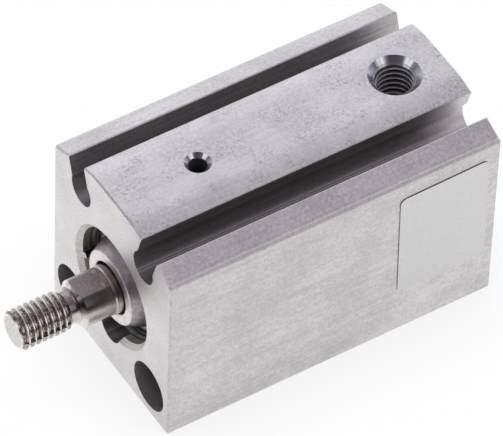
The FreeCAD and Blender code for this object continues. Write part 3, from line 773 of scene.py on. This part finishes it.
def rod_steel():
    look = Material("rod_steel", (0.50, 0.46, 0.44), metallic=1.0, roughness=0.2)
    height = look.maths("ABSOLUTE", look.up)
    radius = look.distance(("X", "Z"), ROD_AXIS)
    rings = look.noise((40, 9000, 40), detail=3)
    smears = look.spread(look.noise((1500, 1100, 1500), detail=3), *PLAIN)
    spots = look.spread(look.noise((4500, 4500, 4500), detail=2), 0.38, 0.62)

    # Painted light on the underside and painted shade on the right side and collar
    underside, dark = rod_shades(look, height)
    ground = look.blend(smears, (0.34, 0.305, 0.29), (0.53, 0.49, 0.47))
    ground = look.blend(underside, ground, (0.84, 0.80, 0.76))
    coloured = look.blend(dark, ground, (0.12, 0.115, 0.10))

    # Matte flats, with one even tone where the cutter ran out
    milled = milled_share(look, height)
    matte = look.blend(spots, (0.34, 0.295, 0.295), (0.49, 0.435, 0.435))
    ramp = look.maths("GREATER_THAN", look.along, FLATS_END)
    coloured = look.blend(milled, coloured, look.blend(ramp, matte, (0.44, 0.40, 0.39)))

    # Spotted valleys and painted highlights on the crests of the thread, and the flat end of the tip
    valley = look.blend(spots, (0.19, 0.155, 0.14), (0.62, 0.56, 0.53))
    cut = look.blend(look.spread(radius, *ROD_CREST_RADII), valley, (0.93, 0.88, 0.85))
    threaded = look.maths("LESS_THAN", look.along, THREAD_END)
    coloured = look.blend(threaded, coloured, cut)
    tip = look.blend(spots, (0.56, 0.54, 0.53), (0.74, 0.72, 0.71))
    coloured = look.blend(look.maths("LESS_THAN", look.along, ROD_TIP + FINE_MARGIN), coloured, tip)

    # Painted highlight on the ring of the step behind the flats
    step = look.all_of(
        look.maths("GREATER_THAN", look.along, HEAD_STEP - HEAD_STEP_LENGTH - MARGIN),
        look.maths("LESS_THAN", look.along, HEAD_STEP + MARGIN),
    )
    coloured = look.blend(step, coloured, (0.60, 0.55, 0.52))
    # Painted highlights on the cut edges
    look.colour(look.blend(painted_edge_highlights(look, height, radius), coloured, (0.92, 0.87, 0.84)))
    polish = look.spread(rings, *SOFT, 0.19, 0.27)
    duller = look.maths("ADD", look.maths("MULTIPLY", underside, 0.12), look.maths("MULTIPLY", milled, 0.19))
    smooth = look.maths("SUBTRACT", 1.0, threaded)
    look.roughness(look.maths("ADD", polish, look.all_of(duller, smooth)))
    look.bump(rings, depth=0.004 * MM)
    return look.material


# Other materials

def cut_thread():
    """Thread in the port: painted highlights on the crests, painted shade on the flanks, darker towards the
    wall, and a countersunk start.
    """
    look = Material("cut_thread", (0.8, 0.8, 0.84), metallic=0.55, roughness=0.28)
    radius = look.distance(("X", "Y"), (0.0, PORT_PLACE))
    smears = look.noise((2500, 2500, 2500), detail=2)
    bright = look.blend(look.spread(smears, *PLAIN), (0.85, 0.85, 0.87), (1.0, 1.0, 1.0))
    depth = look.spread(radius, *PORT_FLANK_RADII)
    # Painted shade, darker deeper between the crests
    dark = look.blend(depth, (0.10, 0.095, 0.095), (0.012, 0.011, 0.011))
    flanks = look.blend(look.spread(radius, *PORT_CREST_RADII, 1.0, 0.0), dark, bright)
    cone = look.maths("ADD", look.up, PORT_MOUTH_RADIUS - RIB_TOP)
    off_cone = look.maths("ABSOLUTE", look.maths("SUBTRACT", radius, cone))
    on_cone = look.maths("LESS_THAN", off_cone, BROAD_MARGIN)
    look.colour(look.blend(on_cone, flanks, cut_facets(look, PORT_PLACE)))
    look.bump(smears, depth=0.004 * MM)
    return look.material


def darker(colour, share):
    return tuple(part * share for part in colour)


def turned_metal(name, colour, roughness, ring_scale, ring_depth):
    """Metal with fine turning marks round the rod axis."""
    look = Material(name, colour, metallic=1.0, roughness=roughness)
    rings = look.noise((40, ring_scale, 40), detail=3)
    smears = look.noise((1300, 900, 1300), detail=3)
    look.colour(look.blend(look.spread(smears, *PLAIN), darker(colour, 0.72), colour))
    look.roughness(look.spread(rings, *SOFT, roughness * 0.8, roughness * 1.25))
    look.bump(rings, ring_depth)
    return look.material


def ring_wire():
    """Dark drawn wire with a bright cut end."""
    look = Material("ring_wire", (0.12, 0.12, 0.12), metallic=1.0, roughness=0.35)
    smears = look.noise((1300, 900, 1300), detail=3)
    drawn = look.blend(look.spread(smears, *PLAIN), (0.055, 0.055, 0.055), (0.09, 0.09, 0.09))
    cut = look.maths("LESS_THAN", look.along, HOOK_END + MARGIN)
    look.colour(look.blend(cut, drawn, (0.62, 0.61, 0.58)))
    look.bump(smears, depth=0.004 * MM)
    return look.material


def moulded(name, colour, roughness):
    """Cloudy rubber or plastic with a fine grain."""
    look = Material(name, colour, roughness=roughness)
    cloud = look.noise((900, 900, 900), detail=3)
    fine = look.noise((6000, 6000, 6000), detail=2)
    look.colour(look.blend(look.spread(cloud, *SOFT), darker(colour, 0.7), colour))
    look.roughness(look.spread(fine, *SOFT, roughness * 0.9, roughness * 1.1))
    look.bump(fine, depth=0.01 * MM)
    return look.material


def label_film():
    """Bare metallic film with painted shade on its edges."""
    look = Material("label_film", (0.90, 0.90, 0.90), metallic=0.8, roughness=0.32)
    cloud = look.noise((160, 160, 160), detail=2)
    fine = look.noise((4000, 4000, 4000), detail=2)
    film = look.blend(look.spread(fine, *SOFT), (0.80, 0.80, 0.80), (0.90, 0.90, 0.89))
    facing = look.part(look.normal, "X")
    # Painted shade on the film's edges
    look.colour(look.blend(look.spread(facing, 0.4, 0.6), (0.05, 0.035, 0.03), film))
    look.roughness(look.spread(fine, *SOFT, 0.28, 0.36))
    look.bump(cloud, depth=0.03 * MM, strength=0.6)
    return look.material


# Materials on the CAD nodes and on the pieces of this scene

def paint(mesh, material):
    mesh.materials.clear()
    mesh.materials.append(material)


def paint_nodes(wire):
    steel = turned_metal("stainless_steel", (0.50, 0.46, 0.44), 0.19, 9000, 0.004 * MM)
    bright = turned_metal("turned_aluminium", (0.84, 0.80, 0.81), 0.42, 7000, 0.006 * MM)
    rubber = moulded("black_rubber", (0.03, 0.03, 0.03), 0.6)
    elastic = moulded("polyurethane", (0.06, 0.09, 0.16), 0.5)
    finishes = {
        "housing": body_aluminium(),
        "bearing_cap": cap_aluminium(),
        "snap_ring": ring_wire(),
        "guide_bush": turned_metal("sintered_bronze", (0.56, 0.40, 0.24), 0.45, 3000, 0.006 * MM),
        "rod_wiper": rubber,
        "cap_o_ring": rubber,
        "front_bumper": elastic,
        "piston_front": bright,
        "guide_ring": moulded("guide_plastic", (0.18, 0.18, 0.17), 0.5),
        "magnet_ring": moulded("magnet", (0.10, 0.10, 0.10), 0.55),
        "piston_rear": bright,
        "piston_seal": elastic,
        "rod_o_ring": rubber,
        "piston_washer": wire,
        "piston_nut": steel,
        "rear_bumper": elastic,
        "side_label": label_film(),
    }
    for node, material in finishes.items():
        paint(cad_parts[node].data, material)


def add_pieces(wire):
    threads = cut_thread()
    paint(make_rod().data, rod_steel())
    paint(make_port_thread().data, threads)
    paint(make_port_lip().data, threads)
    paint(make_spring().data, wire)


# Studio: pale floor, dim sky with a light wall and two soft lights, and the camera

def make_floor():
    """White to the camera, with a faint contact shade, and less bright in what mirrors it, with a painted
    shadow to the right of the body.
    """
    level = cad_box[0].z - FLOOR_GAP
    sides = ((-1, -1), (1, -1), (1, 1), (-1, 1))
    corners = [(across * FLOOR_SIZE, along * FLOOR_SIZE, level) for across, along in sides]
    floor = mesh_object("floor", corners, [(0, 1, 2, 3)])
    look = Material("floor", (0.95, 0.95, 0.95), roughness=0.9)
    glow = look.node("ShaderNodeEmission")
    contact = look.node("ShaderNodeAmbientOcclusion")
    contact.inputs["Distance"].default_value = CONTACT_REACH
    open_share = look.spread(contact.outputs["AO"], 0.3, 0.95)
    look.join(look.blend(open_share, (0.88, 0.88, 0.89), (1.0, 1.0, 1.0)), glow.inputs["Color"])
    path = look.node("ShaderNodeLightPath")
    # Painted shadow in what mirrors the floor, darker to the right of the body
    left = look.spread(look.across, *MIRRORED_LEFT, 1.0, 0.72)
    share = look.maths("ADD", left, look.spread(look.across, *MIRRORED_RIGHT, 0.0, 0.1))
    from_middle = look.distance(("X", "Y"), (0.0, BODY_LENGTH / 2))
    nearby = look.spread(from_middle, *MIRRORED_NEAR, 1.0, 0.35)
    mirrored = look.all_of(path.outputs["Is Glossy Ray"], share, nearby)
    shown = look.maths("MAXIMUM", path.outputs["Is Camera Ray"], path.outputs["Is Transmission Ray"])
    seen = look.maths("MULTIPLY", shown, FLOOR_WHITE)
    mix = look.node("ShaderNodeMixShader")
    look.join(look.maths("MAXIMUM", seen, mirrored), mix.inputs[0])
    look.join(look.shader.outputs[0], mix.inputs[1])
    look.join(glow.outputs[0], mix.inputs[2])
    look.join(mix.outputs[0], look.tree.nodes["Material Output"].inputs["Surface"])
    paint(floor.data, look.material)


def make_sky():
    """Dim overhead and dark lower down, with a light wall away on the left. White to the camera."""
    world = bpy.data.worlds.new("studio")
    bpy.context.scene.world = world
    world.use_nodes = True
    sky = Nodes(world.node_tree)
    direction = sky.node("ShaderNodeTexCoord").outputs["Generated"]
    height = sky.part(direction, "Z")
    below_top = sky.spread(height, 0.76, 1.0, 1.0, 0.0)
    wall = sky.maths("MULTIPLY", below_top, sky.spread(sky.dot(direction, LIGHT_WALL), 0.0, 0.6))
    above = sky.blend(sky.spread(height, 0.3, 0.9), (0.03, 0.03, 0.03), (0.305, 0.262, 0.312))
    lit = sky.blend(wall, above, (0.85, 0.855, 0.915))
    for light in SIDE_LIGHTS:
        lit = sky.blend(sky.spread(sky.dot(direction, light), 0.92, 0.985), lit, (1.12, 1.12, 1.17))
    shown = sky.node("ShaderNodeLightPath").outputs["Is Camera Ray"]
    lit = sky.blend(shown, lit, (1.0, 1.0, 1.0))
    sky.join(lit, world.node_tree.nodes["Background"].inputs["Color"])


def make_camera():
    data = bpy.data.cameras.new("camera")
    data.sensor_width = SENSOR_WIDTH
    data.lens = CAMERA_LENS
    data.clip_start = NEAREST_SEEN
    data.clip_end = FURTHEST_SEEN
    camera = bpy.data.objects.new("camera", data)
    bpy.context.scene.collection.objects.link(camera)
    aim = (CAMERA_TARGET - CAMERA_PLACE).to_track_quat("-Z", "Y").to_matrix().to_4x4()
    camera.matrix_world = Matrix.Translation(CAMERA_PLACE) @ aim @ Matrix.Rotation(CAMERA_ROLL, 4, "Z")
    bpy.context.scene.camera = camera


spring_wire = turned_metal("spring_steel", (0.12, 0.12, 0.12), 0.35, 1500, 0.004 * MM)
paint_nodes(spring_wire)
add_pieces(spring_wire)
make_floor()
make_sky()
make_camera()
bpy.context.scene.view_settings.view_transform = "Standard"
